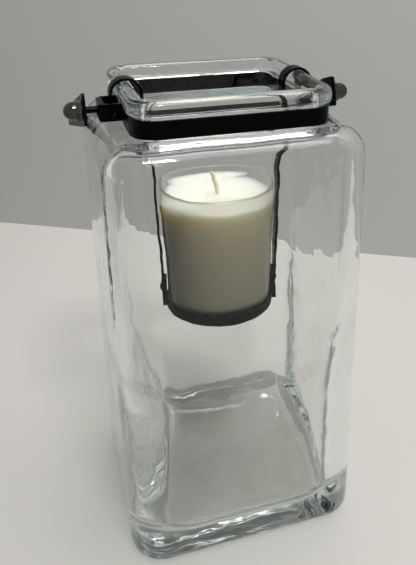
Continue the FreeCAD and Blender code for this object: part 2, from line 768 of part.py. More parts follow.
for item in doc.Objects:
    if "Invalid" in item.State or "Error" in item.State:
        raise RuntimeError("%s failed to build" % item.Label)
bodies = [item for item in doc.Objects if item.TypeId == "PartDesign::Body"]
for body in bodies:
    if body.Shape.isNull() or not body.Shape.isValid() or len(body.Shape.Solids) != 1:
        raise RuntimeError("%s is not one sound solid" % body.Label)
os.makedirs("parts", exist_ok=True)
for body in bodies:
    body.Shape.exportStep("parts/%s.step" % body.Label)
    print("%-20s %9.1f mm3" % (body.Label, body.Shape.Volume))
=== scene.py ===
import bpy
import math
import numpy as np
from mathutils import Matrix, Vector


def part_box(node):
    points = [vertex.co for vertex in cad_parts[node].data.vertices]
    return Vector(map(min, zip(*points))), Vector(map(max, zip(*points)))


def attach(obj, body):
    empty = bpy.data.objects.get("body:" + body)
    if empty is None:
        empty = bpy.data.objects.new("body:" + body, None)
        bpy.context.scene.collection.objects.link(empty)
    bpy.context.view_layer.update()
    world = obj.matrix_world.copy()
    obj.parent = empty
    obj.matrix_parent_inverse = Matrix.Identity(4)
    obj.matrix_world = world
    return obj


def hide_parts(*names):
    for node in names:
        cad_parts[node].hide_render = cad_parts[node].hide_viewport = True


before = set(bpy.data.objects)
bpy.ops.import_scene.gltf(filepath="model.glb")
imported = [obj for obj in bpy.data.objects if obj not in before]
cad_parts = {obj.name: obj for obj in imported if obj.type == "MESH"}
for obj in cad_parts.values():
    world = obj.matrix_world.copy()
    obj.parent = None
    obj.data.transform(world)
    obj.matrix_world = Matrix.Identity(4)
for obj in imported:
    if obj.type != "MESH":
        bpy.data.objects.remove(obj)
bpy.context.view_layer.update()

# Shapes are worked out in millimetres and put into the meshes in metres.
MM = 0.001


def box_mm(node):
    """A node's lowest and highest corners at rest, in millimetres."""
    low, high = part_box(node)
    return np.array(low) / MM, np.array(high) / MM


# The jar's outlines, each as half width, half depth and corner radius. The cavity's corners are
# tighter above and rounder below, and the flat of the floor keeps the rounder ones.
JAR_TOP = box_mm("glass_jar")[1]
BODY_CORNER = 19.0
NECK_INSET = np.array([17.4, 17.6, 7.5])
LIP_OVERHANG = 2.9
LIP_THICKNESS = 8.7
WALL = 5.5
CAVITY_CORNER, LOW_CORNER = 15.0, 26.0
FLOOR_ROUND = 14.0
BODY = np.array([JAR_TOP[0], JAR_TOP[1], BODY_CORNER])
NECK = BODY - NECK_INSET
LIP = NECK + LIP_OVERHANG
MOUTH = LIP - LIP_THICKNESS
CAVITY = np.array([BODY[0] - WALL, BODY[1] - WALL, CAVITY_CORNER])
LOW_CAVITY = np.array([BODY[0] - WALL, BODY[1] - WALL, LOW_CORNER])
FLAT_FLOOR = LOW_CAVITY - np.array([FLOOR_ROUND, FLOOR_ROUND, 0.0])
# The jar's heights and roundings. The cavity's corners change between the swell's level and its top.
HEEL_ROUND = 9.5
FLOOR = 13.0
SWELL_LEVEL = 95.0
SWELL_HEIGHT = 55.0
SHOULDER = 237.0
SHOULDER_ROUND = 15.0
LIP_BOTTOM = 246.5
LIP_ROUND = 3.8
LIP_EDGE = 3.0
THROAT_ROUND = 4.0
# The recess under the jar: its depth, the share of the foot that is flat, and the share of its slope.
FOOT_RECESS = 0.9
RECESS_FLAT = 0.6
RECESS_SLOPE = 0.35
# Heights between which the dust inside sets in and ends, and the painted shade round the heel ends.
DUST_START = FLOOR - 3.0, FLOOR - 1.0
DUST_END = FLOOR + 3.0, FLOOR + 37.0
PAINTED_HEEL_SHADE_END = FLOOR + 6.0, FLOOR + 9.0

# The votive cup, with a hollow under it that starts a little inside its heel.
CUP_BOTTOM, CUP_TOP = box_mm("votive_cup")[0][2], box_mm("votive_cup")[1][2]
CUP_FOOT_RADIUS = 28.7
CUP_FLARE = 0.036
CUP_GLASS = 2.2
CUP_BASE = 5.0
CUP_HEEL = 2.0
CUP_INNER_ROUND = 2.6
CUP_HOLLOW = 0.5
CUP_HOLLOW_INSET = 2.0
CUP_HOLLOW_SLOPE = 5.0
# The wax: it reaches a little into the cup's glass, so that no gap shows between them.
WAX_DEPTH = 59.6
WAX_BITE = 0.3
WAX_UNDER_RING = 8.4
WAX_CREEP = 0.8
WAX_CREEP_SHARE = 0.06
WAX_DISH = 0.3
WAX_MOUND = 0.5
WAX_MOUND_RADIUS = 4.0
WAX_WAVE = 0.14
WAX_WAVE_PITCH = 16.0
WAX_CALM_SHARE = 0.15


class Shade:
    """A socket in a material's nodes. Arithmetic on it adds Math nodes."""

    def __init__(self, tree, socket=None):
        self.tree = tree
        self.socket = socket

    def node(self, kind, settings, inputs, output=0):
        """Add a node: its settings first, then the values or links of its sockets."""
        made = self.tree.nodes.new(kind)
        for name, setting in settings.items():
            setattr(made, name, setting)
        for name, entry in inputs.items():
            if isinstance(entry, Shade):
                self.tree.links.new(entry.socket, made.inputs[name])
            else:
                made.inputs[name].default_value = entry
        return Shade(self.tree, made.outputs[output] if made.outputs else None)

    def math(self, operation, *terms):
        return self.node("ShaderNodeMath", {"operation": operation}, dict(enumerate(terms)))

    def __add__(self, other):
        return self.math("ADD", self, other)

    def __sub__(self, other):
        return self.math("SUBTRACT", self, other)

    def __rsub__(self, other):
        return self.math("SUBTRACT", other, self)

    def __mul__(self, other):
        return self.math("MULTIPLY", self, other)

    __radd__ = __add__
    __rmul__ = __mul__

    def largest(self, other):
        return self.math("MAXIMUM", self, other)

    def size(self):
        return self.math("ABSOLUTE", self)

    def between(self, low, high):
        """0 below low, 1 above high, smooth between them."""
        settings = {"interpolation_type": "SMOOTHSTEP"}
        inputs = {"Value": self, "From Min": low, "From Max": high}
        return self.node("ShaderNodeMapRange", settings, inputs)

    def blend(self, first, second):
        """The first colour where this is 0, the second where it is 1."""
        inputs = {"Factor": self, 6: first, 7: second}
        return self.node("ShaderNodeMix", {"data_type": "RGBA"}, inputs, 2)

    def place(self):
        return self.node("ShaderNodeTexCoord", {}, {}, "Object")

    def stretched(self, scale):
        return self.node("ShaderNodeMapping", {}, {"Vector": self, "Scale": scale})

    def axis(self, name):
        return self.node("ShaderNodeSeparateXYZ", {}, {"Vector": self}, name)

    def mottle(self, size, detail=3.0, roughness=0.55):
        """Cloudy noise whose blotches are about size metres across."""
        inputs = {"Vector": self, "Scale": 1 / size, "Detail": detail, "Roughness": roughness}
        return self.node("ShaderNodeTexNoise", {}, inputs)

    def relief(self, depth):
        """A bump whose height of 1 stands depth metres proud."""
        return self.node("ShaderNodeBump", {}, {"Height": self, "Distance": depth}, "Normal")

    def principled(self, **inputs):
        """The surface shader, with its sockets' names written with underscores."""
        named = {name.replace("_", " "): entry for name, entry in inputs.items()}
        return self.node("ShaderNodeBsdfPrincipled", {}, named)


def make_material(name, build):
    """A material from a function that returns its surface and, for thick glass, its volume."""
    material = bpy.data.materials.new(name)
    material.use_nodes = True
    tree = material.node_tree
    tree.nodes.clear()
    parts = build(Shade(tree))
    Shade(tree).node("ShaderNodeOutputMaterial", {}, dict(zip(("Surface", "Volume"), parts)))
    return material


def lit_through(start, glass, tint):
    """Glass that lamps shine through with a tint, so that what it holds is lit."""
    clear = start.node("ShaderNodeBsdfTransparent", {}, {"Color": tint})
    shadow = start.node("ShaderNodeLightPath", {}, {}, "Is Shadow Ray")
    return start.node("ShaderNodeMixShader", {}, {0: shadow, 1: glass, 2: clear})


def pressed_glass(start):
    """Thick clear glass, faintly green through its depth, with dull smears from handling, dust low down
    inside, and painted shade round the heel: the outer glass there is painted dark grey for the shaded
    floor seen through it."""
    place = start.place()
    smear = place.stretched((1, 1, 0.35)).mottle(0.03, 4.0)
    wide = place.axis("X").size() * (1 / (CAVITY[0] * MM))
    deep = place.axis("Y").size() * (1 / (CAVITY[1] * MM))
    inside = 1 - wide.largest(deep).between(0.96, 1.0)
    height = place.axis("Z") * (1 / MM)
    low = (1 - height.between(*DUST_END)) * height.between(*DUST_START)
    dust = inside * low * place.mottle(0.024, 5.0, 0.6).between(0.3, 0.72)
    # Painted shade: low down round the outside the glass is darkened, standing for the shaded floor
    # under the heel seen through it.
    heel = wide.largest(deep).between(0.98, 1.02) * (1 - height.between(*PAINTED_HEEL_SHADE_END))
    painted_heel_shade = heel * (0.8 + 0.2 * place.mottle(0.008, 4.0))
    clear = smear.blend((0.93, 0.937, 0.931, 1), (0.965, 0.97, 0.966, 1))
    dusty = dust.blend(clear, (0.74, 0.705, 0.64, 1))
    glass = start.principled(
        Base_Color=painted_heel_shade.blend(dusty, (0.22, 0.23, 0.23, 1)),
        Roughness=smear.between(0.5, 0.8) * 0.035 + dust * 0.06,
        IOR=1.5,
        Specular_Tint=(0.3, 0.3, 0.3, 1),
        Transmission_Weight=1.0,
        Normal=place.mottle(0.018, 2.0).relief(0.00018),
    )
    tint = {"Color": (0.40, 0.78, 0.70, 1), "Density": 1.2}
    depth = start.node("ShaderNodeVolumeAbsorption", {}, tint)
    return lit_through(start, glass, (0.90, 0.905, 0.90, 1)), depth


def cup_glass(start):
    """Lightly frosted glass with a haze of wax and soot inside."""
    place = start.place()
    haze = place.mottle(0.006, 5.0)
    glass = start.principled(
        Base_Color=haze.blend((0.87, 0.85, 0.77, 1), (0.92, 0.90, 0.84, 1)),
        Roughness=0.24 + haze * 0.12,
        IOR=1.45,
        Transmission_Weight=1.0,
        Normal=place.mottle(0.004, 2.0).relief(0.00002),
    )
    return (lit_through(start, glass, (0.84, 0.83, 0.79, 1)),)


def candle_wax(start):
    """Poured ivory wax, slightly clouded, that lets light in a little way. Its side is painted darker
    towards the bottom as painted shade.
    """
    place = start.place()
    cloud = place.mottle(0.012, 4.0)
    surface = (CUP_BOTTOM + CUP_BASE + WAX_DEPTH) * MM
    top = place.axis("Z").between(surface - 0.0035, surface - 0.0005)
    # Painted shade: the side's colour darkens towards the bottom, where less light reaches it.
    depth = place.axis("Z").between(surface - WAX_DEPTH * MM, surface - 0.010)
    upper = cloud.blend((0.88, 0.825, 0.62, 1), (0.91, 0.86, 0.68, 1))
    side = depth.blend((0.70, 0.665, 0.51, 1), upper)
    poured = cloud.blend((0.90, 0.885, 0.72, 1), (0.94, 0.93, 0.79, 1))
    wax = start.principled(
        Base_Color=top.blend(side, poured),
        Roughness=0.40 + cloud * 0.2,
        Subsurface_Weight=1.0,
        Subsurface_Radius=(1.0, 0.9, 0.7),
        Subsurface_Scale=0.013,
        Normal=place.mottle(0.005, 3.0).relief(0.00012),
    )
    return (wax,)


def wick_cotton(start):
    """Waxed cotton braid."""
    strand = start.place().mottle(0.0009, 2.0)
    cotton = start.principled(
        Base_Color=strand.blend((0.86, 0.79, 0.50, 1), (0.96, 0.92, 0.74, 1)),
        Roughness=0.7 + strand * 0.2,
    )
    return (cotton,)


def black_paint(start):
    """Deep black paint on steel strip, with a little dust and small rubbed spots."""
    place = start.place()
    dust = place.mottle(0.009, 5.0)
    rub = place.mottle(0.0025, 3.0).between(0.68, 0.78)
    base = dust.blend((0.0005, 0.0005, 0.0006, 1), (0.0016, 0.0015, 0.0015, 1))
    paint = start.principled(
        Base_Color=rub.blend(base, (0.014, 0.012, 0.010, 1)),
        Roughness=0.14 + dust * 0.22,
        Specular_IOR_Level=0.045,
        Normal=place.mottle(0.0012, 2.0).relief(0.00002),
    )
    return (paint,)


def tray_paint(start):
    """Older black paint, browned by heat and soot."""
    soot = start.place().stretched((1, 1, 2.5)).mottle(0.008, 5.0)
    brown = soot.between(0.42, 0.68)
    paint = start.principled(
        Base_Color=brown.blend((0.003, 0.0027, 0.0024, 1), (0.014, 0.009, 0.0055, 1)),
        Roughness=0.42 + soot * 0.25,
        Specular_IOR_Level=0.07,
        Normal=soot.relief(0.00008),
    )
    return (paint,)


def black_nickel(start):
    """Dark plated metal with a mirror finish and a thin film of grease."""
    place = start.place()
    haze = place.mottle(0.004, 4.0)
    plate = start.principled(
        Base_Color=haze.blend((0.042, 0.04, 0.038, 1), (0.095, 0.087, 0.077, 1)),
        Metallic=1.0,
        Roughness=0.03 + haze * 0.09,
        Normal=place.mottle(0.003, 2.0).relief(0.00003),
    )
    return (plate,)


def tab_metal(start):
    """Thin pressed tinplate."""
    roll = start.place().stretched((1, 6, 1)).mottle(0.004, 3.0)
    tin = start.principled(
        Base_Color=roll.blend((0.55, 0.55, 0.54, 1), (0.68, 0.68, 0.66, 1)),
        Metallic=1.0,
        Roughness=0.3 + roll * 0.2,
    )
    return (tin,)


BUILDERS = (
    pressed_glass, cup_glass, candle_wax, wick_cotton,
    black_paint, tray_paint, black_nickel, tab_metal,
)
MATERIALS = {build.__name__: make_material(build.__name__, build) for build in BUILDERS}


def arc(start, finish, count):
    """Angles from start up to finish, given in degrees, in radians and without the last."""
    return np.radians(np.linspace(start, finish, count, endpoint=False))


def surface_object(name, rings, crease=None):
    """Join closed rings of points (rings, around, 3) into a quad mesh, with a fan to the middle of
    the first and of the last ring. Edges that turn by more than the crease, in degrees, stay sharp."""
    count, around = rings.shape[:2]
    index = np.arange(count * around).reshape(count, around)
    near, far = index[:-1], index[1:]
    quads = np.stack([near, np.roll(near, -1, 1), np.roll(far, -1, 1), far], -1).reshape(-1, 4)
    points = np.vstack([rings.reshape(-1, 3), rings[0].mean(0), rings[-1].mean(0)])
    middles = np.repeat([[len(points) - 2], [len(points) - 1]], around, 1)
    start_fan = np.stack([middles[0], np.roll(index[0], -1), index[0]], -1)
    end_fan = np.stack([middles[1], index[-1], np.roll(index[-1], -1)], -1)
    mesh = bpy.data.meshes.new(name)
    faces = quads.tolist() + start_fan.tolist() + end_fan.tolist()
    mesh.from_pydata((points * MM).tolist(), [], faces)
    mesh.shade_smooth()
    if crease:
        mesh.set_sharp_from_angle(angle=math.radians(crease))
    mesh.update()
    piece = bpy.data.objects.new(name, mesh)
    bpy.context.scene.collection.objects.link(piece)
    return piece


def dress(piece, material, body, node):
    """Give a piece its finish, the body that it moves with and the node that it stands for."""
    piece.data.materials.append(MATERIALS[material])
    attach(piece, body)
    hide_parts(node)


QUARTER_TURN = np.array([[0, 1], [-1, 0]])


def square_rings(rows, turns=20, sides=20):
    """Rounded rectangles, one for each row of half width, half depth, corner radius and height. The
    point at each step is the corner's centre plus its radius along a direction. Round a corner the
    direction turns, and along a side the centre slides from one corner to the next."""
    turn = arc(0, 90, turns)
    slide = np.linspace(1, -1, sides, endpoint=False)
    centre = np.vstack([np.ones((turns, 2)), np.column_stack([slide, np.ones(sides)])])
    round_corner = np.column_stack([np.cos(turn), np.sin(turn)])
    direction = np.vstack([round_corner, np.tile([0.0, 1.0], (sides, 1))])
    quarters = [np.linalg.matrix_power(QUARTER_TURN, count) for count in range(4)]
    centre = np.concatenate([centre @ quarter for quarter in quarters])
    direction = np.concatenate([direction @ quarter for quarter in quarters])
    half, corner, height = rows[:, None, :2], rows[:, None, 2:3], rows[:, None, 3:]
    flat = centre * (half - corner) + direction * corner
    return np.concatenate([flat, np.broadcast_to(height, flat.shape[:2] + (1,))], -1)


def grown(shape, outset, height):
    """Rows for a shape grown by each outset at each height."""
    outset, height = np.broadcast_arrays(np.atleast_1d(outset), np.atleast_1d(height))
    return np.column_stack([shape + outset[:, None], height])


def across(first, second, share, height):
    """Rows from one shape towards another, by shares of the way, at one height or several."""
    sizes = first + (second - first) * share[:, None]
    return np.column_stack([sizes, np.broadcast_to(height, share.shape)])


def ripples(points, pitch, seed):
    """Slow waves, mostly between -1 and 1 and never past the crest: the sum of sines along seeded
    directions, whose pitches lie round the given one."""
    random = np.random.default_rng(seed)
    along = random.normal(size=(WAVE_SINES, 3))
    along /= np.linalg.norm(along, axis=1)[:, None]
    pitches = pitch * random.uniform(*PITCH_SPREAD, WAVE_SINES)
    phase = random.uniform(0, 2 * math.pi, WAVE_SINES)
    sines = np.sin(2 * math.pi * (points @ along.T) / pitches + phase)
    return sines.sum(-1) * WAVE_CREST / WAVE_SINES


def outward(rings):
    """Unit normals of a grid of closed rings, from the differences of neighbouring points."""
    around = np.roll(rings, -1, 1) - np.roll(rings, 1, 1)
    along = np.gradient(rings, axis=0)
    normal = np.cross(around, along)
    return normal / np.maximum(np.linalg.norm(normal, axis=-1, keepdims=True), 1e-9)


# How far the pressed surfaces wander in slow waves, outside, inside and on the floor, and in fine ones.
WAVE_PITCH = 34.0
WAVE_OUTSIDE = 0.10
WAVE_INSIDE = 0.10
WAVE_FLOOR = 0.35
FINE_PITCH = 13.0
FINE_WAVE = 0.05
# The number of sines in a wave, the range of their pitches, and the highest crest that they reach
# together, the last two as multiples of the wave's own pitch and size.
WAVE_SINES = 9
PITCH_SPREAD = 0.7, 1.6
WAVE_CREST = 2.0
# What the random directions of the waves start from.
SLOW_SEED, FINE_SEED, WAX_SEED = 4, 9, 7


def make_jar():
    """The jar's wall as one closed surface. Its outline runs from the middle of the underside out
    round the heel, up the side, over the shoulder, up the neck, round the lip and back down the
    inside to the middle of the floor. Each point of the outline is a rounded rectangle, and slow
    waves move the surface along its normal, only inwards on the outside."""
    ceiling = SHOULDER - WALL
    ceiling_round = SHOULDER_ROUND - WALL
    middle = np.zeros(3)
    turn = arc(0, 90, 14)
    rise, level = np.sin(turn), np.cos(turn)
    foot = BODY - HEEL_ROUND
    share = np.linspace(0.05, 1, 22, endpoint=False)
    recess = FOOT_RECESS * (1 - np.clip((share - RECESS_FLAT) / RECESS_SLOPE, 0, 1) ** 2)
    steps = np.linspace(0, 1, 6, endpoint=False)
    up = np.linspace(HEEL_ROUND, SHOULDER - SHOULDER_ROUND, 60, endpoint=False)
    neck = np.linspace(SHOULDER, LIP_BOTTOM, 7, endpoint=False)
    lip = np.linspace(LIP_BOTTOM + LIP_EDGE, JAR_TOP[2] - LIP_ROUND, 5, endpoint=False)
    throat = np.linspace(JAR_TOP[2] - LIP_ROUND, ceiling + THROAT_ROUND, 8, endpoint=False)
    down = np.linspace(ceiling - ceiling_round, FLOOR + FLOOR_ROUND, 70, endpoint=False)
    swell = np.clip((SWELL_LEVEL + SWELL_HEIGHT - down) / SWELL_HEIGHT, 0, 1)
    outside = [
        across(middle, foot, share, recess),
        grown(foot, HEEL_ROUND * rise, HEEL_ROUND * (1 - level)),
        grown(BODY, 0, up),
        grown(BODY, SHOULDER_ROUND * (level - 1), SHOULDER + SHOULDER_ROUND * (rise - 1)),
        across(BODY - SHOULDER_ROUND, NECK, steps, SHOULDER),
        grown(NECK, 0, neck),
        across(NECK, LIP - LIP_EDGE, steps, LIP_BOTTOM),
        grown(LIP, LIP_EDGE * (rise - 1), LIP_BOTTOM + LIP_EDGE * (1 - level)),
        grown(LIP, 0, lip),
        grown(LIP, LIP_ROUND * (level - 1), JAR_TOP[2] + LIP_ROUND * (rise - 1)),
        across(LIP - LIP_ROUND, MOUTH + LIP_ROUND, steps, JAR_TOP[2]),
    ]
    inside = [
        grown(MOUTH, LIP_ROUND * (1 - rise), JAR_TOP[2] + LIP_ROUND * (level - 1)),
        grown(MOUTH, 0, throat),
        grown(MOUTH, THROAT_ROUND * (1 - level), ceiling + THROAT_ROUND * (1 - rise)),
        across(MOUTH + THROAT_ROUND, CAVITY - ceiling_round, steps, ceiling),
        grown(CAVITY, ceiling_round * (rise - 1), ceiling + ceiling_round * (level - 1)),
        across(CAVITY, LOW_CAVITY, swell, down),
        across(LOW_CAVITY, FLAT_FLOOR, 1 - level, FLOOR + FLOOR_ROUND * (1 - rise)),
        across(FLAT_FLOOR, middle, np.linspace(0, 0.95, 30), FLOOR),
    ]
    rows = np.concatenate(outside + inside)
    rings = square_rings(rows)
    within = np.arange(len(rows)) >= sum(len(run) for run in outside)
    height = rows[:, 3]
    calm = np.clip((SHOULDER - height) / SHOULDER_ROUND, 0, 1)
    low = np.clip((FLOOR + 2 * FLOOR_ROUND - height) / FLOOR_ROUND, 0, 1)
    inner = WAVE_INSIDE + (WAVE_FLOOR - WAVE_INSIDE) * low
    raised = np.clip((height - FOOT_RECESS) / HEEL_ROUND, 0, 1)
    slow = np.where(within, inner, WAVE_OUTSIDE * raised) * calm
    depth = np.where(within, 0, WAVE_CREST)[:, None]
    wave = (ripples(rings, WAVE_PITCH, SLOW_SEED) - depth) * slow[:, None]
    wave += (ripples(rings, FINE_PITCH, FINE_SEED) - depth) * (FINE_WAVE * raised)[:, None]
    rings = rings + outward(rings) * wave[..., None]
    piece = surface_object("jar", rings)
    dress(piece, "pressed_glass", "lantern_body", "glass_jar")


def turned_rings(radius, height, around=128):
    """A profile of radii and heights turned about the Z axis."""
    angle = arc(0, 360, around)
    radius = radius[:, None]
    level = np.broadcast_to(height[:, None], (len(height), around))
    return np.stack([radius * np.cos(angle), radius * np.sin(angle), level], -1)


def profile(*runs):
    """Join runs of radii and heights into one profile."""
    runs = [np.broadcast_arrays(*run) for run in runs]
    return np.concatenate([run[0] for run in runs]), np.concatenate([run[1] for run in runs])


def cup_wall(height):
    """The cup's outer radius at a height: its foot's radius plus the flare times the height above it."""
    return CUP_FOOT_RADIUS + CUP_FLARE * (height - CUP_BOTTOM)


def make_cup():
    """A turned wall with a thick base: out along the hollowed foot, round the heel, up the flared
    side, over the round rim, down the inside and in along the floor."""
    turn = arc(0, 90, 8)
    over = arc(0, 180, 14)
    heel, rim = CUP_BOTTOM + CUP_HEEL, CUP_TOP - CUP_GLASS / 2
    floor = CUP_BOTTOM + CUP_BASE
    inner_heel = floor + CUP_INNER_ROUND
    foot = np.linspace(1, cup_wall(heel) - CUP_HEEL, 16, endpoint=False)
    side = np.linspace(heel, rim, 30, endpoint=False)
    down = np.linspace(rim, inner_heel, 30, endpoint=False)
    inner_radius = cup_wall(inner_heel) - CUP_GLASS - CUP_INNER_ROUND
    hollow = CUP_HOLLOW * np.clip((foot[-1] - CUP_HOLLOW_INSET - foot) / CUP_HOLLOW_SLOPE, 0, 1)
    half_glass = CUP_GLASS / 2
    radius, height = profile(
        (foot, CUP_BOTTOM + hollow),
        (foot[-1] + CUP_HEEL * np.sin(turn), heel - CUP_HEEL * np.cos(turn)),
        (cup_wall(side), side),
        (cup_wall(rim) - half_glass * (1 - np.cos(over)), rim + half_glass * np.sin(over)),
        (cup_wall(down) - CUP_GLASS, down),
        (inner_radius + CUP_INNER_ROUND * np.cos(turn), inner_heel - CUP_INNER_ROUND * np.sin(turn)),
        (np.linspace(inner_radius, 1, 16), floor),
    )
    piece = surface_object("cup", turned_rings(radius, height))
    dress(piece, "cup_glass", "cup", "votive_cup")


def make_wax():
    """Poured wax: the cup's inside and a hair more, with a creep up the wall at the edge, a shallow
    dished top that wanders a little, and a low bell-shaped mound round the wick."""
    bottom = CUP_BOTTOM + CUP_BASE
    top = bottom + WAX_DEPTH
    heel = bottom + CUP_INNER_ROUND
    inset = CUP_GLASS - WAX_BITE
    turn = arc(0, 90, 8)
    side = np.linspace(heel, top + WAX_CREEP, 24, endpoint=False)
    edge = cup_wall(top + WAX_CREEP) - inset
    share = np.linspace(1, 0.03, 44)
    creep = WAX_CREEP * np.clip((share - 1 + WAX_CREEP_SHARE) / WAX_CREEP_SHARE, 0, 1) ** 2
    mound = WAX_MOUND * np.exp(-((share * edge / WAX_MOUND_RADIUS) ** 2))
    foot = cup_wall(heel) - inset - CUP_INNER_ROUND
    radius, height = profile(
        (np.linspace(WAX_UNDER_RING, foot, 8, endpoint=False), bottom),
        (foot + CUP_INNER_ROUND * np.sin(turn), heel - CUP_INNER_ROUND * np.cos(turn)),
        (cup_wall(side) - inset, side),
        (share * edge, top + creep + mound - WAX_DISH * (1 - share ** 2)),
    )
    rings = turned_rings(radius, height)
    calm = np.clip((1 - share) / WAX_CALM_SHARE, 0, 1)
    surface = np.concatenate([np.zeros(len(radius) - len(share)), calm])
    rings[..., 2] += ripples(rings, WAX_WAVE_PITCH, WAX_SEED) * WAX_WAVE * surface[:, None]
    piece = surface_object("wax", rings)
    dress(piece, "candle_wax", "cup", "candle_wax")


# The wick, from just above the cup's floor to its tip. Its braid turns in radians per millimetre.
WICK_LIFT = 0.9
WICK_RADIUS = 0.88
WICK_BRAID = 0.20
BRAID_TURN = 1.9
WICK_STAND = 1.5
WICK_BEND = 12.0
WICK_LEAN = math.radians(22)
WICK_TIP = 6.5
WICK_TIP_ROUND = 0.8


def make_wick():
    """A round section carried up the wick's line, upright and then leaning left, with the ridges of
    a braid: two sets of crossing spirals that swell the radius. The radius shrinks to the tip."""
    bend = CUP_BOTTOM + CUP_BASE + WAX_DEPTH + WICK_STAND
    stand = np.linspace(CUP_BOTTOM + CUP_BASE + WICK_LIFT, bend, 90, endpoint=False)
    lean = np.linspace(0, WICK_LEAN, 14, endpoint=False)
    tip = np.linspace(0, WICK_TIP, 26)
    slope = np.concatenate([0 * stand, lean, np.full(len(tip), WICK_LEAN)])
    x = np.concatenate([
        0 * stand, -WICK_BEND * (1 - np.cos(lean)),
        -WICK_BEND * (1 - math.cos(WICK_LEAN)) - tip * math.sin(WICK_LEAN),
    ])
    z = np.concatenate([
        stand, bend + WICK_BEND * np.sin(lean),
        bend + WICK_BEND * math.sin(WICK_LEAN) + tip * math.cos(WICK_LEAN),
    ])
    length = np.concatenate([[0], np.cumsum(np.hypot(np.diff(x), np.diff(z)))])[:, None]
    angle = arc(0, 360, 28)[None, :]
    spiral = BRAID_TURN * length
    braid = np.abs(np.sin(2 * angle + spiral) * np.sin(2 * angle - spiral))
    tip_round = np.clip((length[-1] - length) / WICK_TIP_ROUND, 0.05, 1) ** 0.4
    radius = (WICK_RADIUS + WICK_BRAID * braid) * tip_round
    side = radius * np.cos(angle)
    rings = np.stack([
        x[:, None] + side * np.cos(slope)[:, None],
        radius * np.sin(angle),
        z[:, None] + side * np.sin(slope)[:, None],
    ], -1)
    piece = surface_object("wick", rings)
    dress(piece, "wick_cotton", "cup", "candle_wick")


# The hanger straps: places of the strip's middle surface, from its foot to the tip of its hook.
STRAP_WIDTH = 8.0
STRAP_GAUGE = 1.4
STRAP_EDGE = 0.4
STRAP_FOOT_X = 31.9
STRAP_TOP_X = 33.7
LEG_X = 37.6
HOOK_RADIUS = 7.7
HOOK_TIP = 245.05
ARCH_DROP = 6.35
ARCH = JAR_TOP[2] - ARCH_DROP
EAR_HEIGHT = 17.3
EAR_TOP = CUP_BOTTOM + EAR_HEIGHT
KINK_LOW = 212.0
KINK_HIGH = 218.5
KINK_ROUND = 4.0
# The straight stretches stop short of the rounded kinks, at these shares of the run and of the leg.
RUN_END = 0.9
LEG_START = 0.15
HANGER_TURN = math.radians(9)
STRAP_CREASE = 40


def rounded_corner(before, corner, after, radius, count):
    """A parabola that rounds a corner: it starts and ends where an arc of the radius would touch the
    two lines through the corner."""
    first = (before - corner) / np.linalg.norm(before - corner)
    second = (after - corner) / np.linalg.norm(after - corner)
    turn = math.acos(np.clip(first @ second, -1, 1))
    reach = radius / math.tan(turn / 2)
    share = np.linspace(0, 1, count)[:, None]
    return (
        (1 - share) ** 2 * (corner + first * reach)
        + 2 * share * (1 - share) * corner
        + share ** 2 * (corner + second * reach)
    )


def strap_line():
    """The strip's middle line in the XZ plane: up, out at two rounded kinks, up and over in a half
    circle, and down to the tip."""
    foot = np.array([STRAP_FOOT_X, CUP_BOTTOM])
    ear = np.array([STRAP_FOOT_X, EAR_TOP])
    low, high = np.array([STRAP_TOP_X, KINK_LOW]), np.array([LEG_X, KINK_HIGH])
    arch = np.array([LEG_X, ARCH])
    over = np.radians(np.linspace(180, 0, 40))
    hook_x = LEG_X + HOOK_RADIUS + HOOK_RADIUS * np.cos(over)
    hook = np.column_stack([hook_x, ARCH + HOOK_RADIUS * np.sin(over)])
    run = ear + (low - ear) * np.linspace(0, RUN_END, 30)[:, None]
    leg = high + (arch - high) * np.linspace(LEG_START, 1, 16, endpoint=False)[:, None]
    return np.concatenate([
        np.linspace(foot, ear, 8, endpoint=False),
        run,
        rounded_corner(ear, low, high, KINK_ROUND, 8),
        rounded_corner(low, high, arch, KINK_ROUND, 8),
        leg,
        hook,
        [(LEG_X + 2 * HOOK_RADIUS, HOOK_TIP)],
    ])


def strip_section():
    """A strip's cross-section with rounded edges, as width and thickness round the outline."""
    half = np.array([[STRAP_WIDTH / 2, STRAP_GAUGE / 2, STRAP_EDGE, 0.0]])
    return square_rings(half, turns=5, sides=4)[0, :, :2]


def make_strap(side, half_turn):
    """The strip's section carried along its line. Below the upper kink the strip has the tray's turn
    about the lantern's axis, and it loses it in proportion to height between there and the hook."""
    line = strap_line()
    ahead = np.gradient(line, axis=0)
    ahead /= np.linalg.norm(ahead, axis=1)[:, None]
    section = strip_section()
    x = line[:, None, 0] + section[None, :, 1] * ahead[:, None, 1]
    z = line[:, None, 1] - section[None, :, 1] * ahead[:, None, 0]
    y = np.broadcast_to(section[None, :, 0], x.shape)
    twist = HANGER_TURN * np.clip((ARCH - z) / (ARCH - KINK_HIGH), 0, 1) + half_turn
    turned = (x * np.cos(twist) + y * np.sin(twist), y * np.cos(twist) - x * np.sin(twist), z)
    piece = surface_object("strap_" + side, np.stack(turned, -1)[:, ::-1], STRAP_CREASE)
    dress(piece, "black_paint", "hanger", "hanger_strap_" + side)


# The acorn nuts: width across flats, height of the hexagon, radius of the dome, and the cone that
# takes the hexagon's corners off, with its slope and its start outside the flats.
NUT_ACROSS = 9.5
NUT_HEX = 3.0
NUT_DOME = 4.5
NUT_CONE = 1.7
NUT_CONE_START = 0.1
NUT_CREASE = 25


